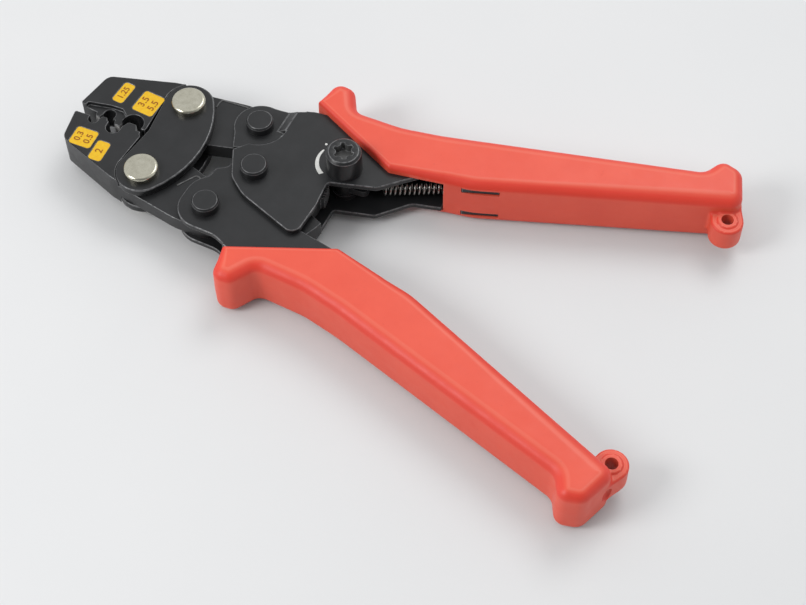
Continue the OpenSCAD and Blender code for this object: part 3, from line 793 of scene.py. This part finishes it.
def make_turn_mark():
    """White crescent and dot beside the release knob."""
    outer, inner = [], []
    steps = 24
    for i in range(steps + 1):
        t = i / steps
        a = math.radians(158 + 66 * t)
        radius = 10.4 - 2.3 * t ** 1.5
        half = 0.2 + 0.62 * math.sqrt(t)
        outer.append((KNOB[0] + (radius + half) * math.cos(a), KNOB[1] + (radius + half) * math.sin(a)))
        inner.append((KNOB[0] + (radius - half) * math.cos(a), KNOB[1] + (radius - half) * math.sin(a)))
    marks = [prism("turn_mark", outer + inner[::-1], CHEEK_FACE + 0.005, CHEEK_FACE + 0.05, WHITE)]
    dot = circle_outline((16.9, 20.2), 0.45, 24)
    marks.append(prism("turn_dot", dot, CHEEK_FACE + 0.005, CHEEK_FACE + 0.05, WHITE))
    for mark in marks:
        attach(mark, "upper_handle")


# Stage ------------------------------------------------------------------------------------

# Lamps: name, place and size in metres, power in watts, share of the power seen in reflections
LAMPS = [("key", (0.12, 0.55, 0.75), 0.5, 1.9, 1.0),
         ("fill", (-0.45, -0.55, 0.60), 0.4, 3.4, 0.3)]
LAMP_TARGET = (0.05, 0, 0)
# Direction in which the room is darkest, and its strength away from it and towards it
DARK_SIDE = (0.38, -0.80, 0.46)
ROOM_BRIGHT = 0.77
ROOM_DARK = 0.25
CAMERA_PLACE = (0.2081, -0.3101, 0.4778)
CAMERA_AZIMUTH = 26.2
CAMERA_ELEVATION = 56.15
CAMERA_ROLL = -0.41
CAMERA_LENS = 79.14


def make_stage():
    g = Graph("table_top")
    tint = g.mix(g.ramp(g.noise(120.0), 0.3, 0.7), (0.79, 0.795, 0.80), (0.81, 0.812, 0.815))
    g.bump((g.noise(1.5), 0.02))
    table_material = g.finish(tint, 0.55, 0.0)
    half = 2500
    height = -GRIP_HALF - 0.02
    corners = [(-half, -half, height), (half, -half, height), (half, half, height), (-half, half, height)]
    table = make_object("table_top", corners, [(0, 1, 2, 3)], table_material)


def make_world():
    """White room that darkens towards the viewer's side, low down."""
    world = bpy.data.worlds.new("studio")
    bpy.context.scene.world = world
    world.use_nodes = True
    tree = world.node_tree
    back = tree.nodes["Background"]
    place = tree.nodes.new("ShaderNodeTexCoord")
    dot = tree.nodes.new("ShaderNodeVectorMath")
    dot.operation = "DOT_PRODUCT"
    dot.inputs[1].default_value = DARK_SIDE
    tree.links.new(place.outputs["Generated"], dot.inputs[0])
    ramp = tree.nodes.new("ShaderNodeMapRange")
    ramp.interpolation_type = "SMOOTHSTEP"
    ramp.inputs["From Min"].default_value = 0.35
    ramp.inputs["From Max"].default_value = 0.95
    ramp.inputs["To Min"].default_value = ROOM_BRIGHT
    ramp.inputs["To Max"].default_value = ROOM_DARK
    tree.links.new(dot.outputs["Value"], ramp.inputs["Value"])
    tree.links.new(ramp.outputs["Result"], back.inputs["Strength"])
    back.inputs["Color"].default_value = (0.98, 0.99, 1.0, 1)


def area_light(name, place, target, size, power, shine):
    """Round lamp aimed at a target; shine scales its reflections."""
    data = bpy.data.lights.new(name, "AREA")
    data.specular_factor = shine
    data.shape = "DISK"
    data.size = size
    data.energy = power
    light = bpy.data.objects.new(name, data)
    bpy.context.scene.collection.objects.link(light)
    light.location = place
    light.rotation_euler = (Vector(target) - Vector(place)).to_track_quat("-Z", "Y").to_euler()


def make_camera():
    """Camera at the fitted place; its axes come from the azimuth, elevation and roll."""
    azimuth = math.radians(CAMERA_AZIMUTH)
    elevation = math.radians(CAMERA_ELEVATION)
    roll = math.radians(CAMERA_ROLL)
    right = Vector((math.cos(azimuth), math.sin(azimuth), 0))
    level = Vector((-math.sin(azimuth), math.cos(azimuth), 0))
    forward = level * math.cos(elevation) - Vector((0, 0, math.sin(elevation)))
    up = right.cross(forward)
    level_right = right * math.cos(roll) + up * math.sin(roll)
    level_up = up * math.cos(roll) - right * math.sin(roll)
    data = bpy.data.cameras.new("camera")
    data.sensor_width = 36
    data.lens = CAMERA_LENS
    data.clip_start = 0.01
    camera = bpy.data.objects.new("camera", data)
    bpy.context.scene.collection.objects.link(camera)
    axes = Matrix((level_right, level_up, -forward)).transposed().to_4x4()
    camera.matrix_world = Matrix.Translation(CAMERA_PLACE) @ axes
    bpy.context.scene.camera = camera


dress_metal()
GRIP_SHELL = surface_net(grip_field, (4, 14, -12), (159, 75, 12), CELL)
GRIP_SHELL = (settle(GRIP_SHELL[0], grip_field), GRIP_SHELL[1])
make_grip("upper_grip_moulding", "upper_grip", UPPER_SHEET_HALF, 1, True)
make_grip("lower_grip_moulding", "lower_grip", LOWER_SHEET_HALF, -1, False)
make_spring()
make_labels()
make_arm_panels()
make_turn_mark()

make_stage()
make_world()
for lamp, place, size, power, shine in LAMPS:
    area_light(lamp, place, LAMP_TARGET, size, power, shine)
make_camera()
bpy.context.scene.view_settings.view_transform = "Standard"
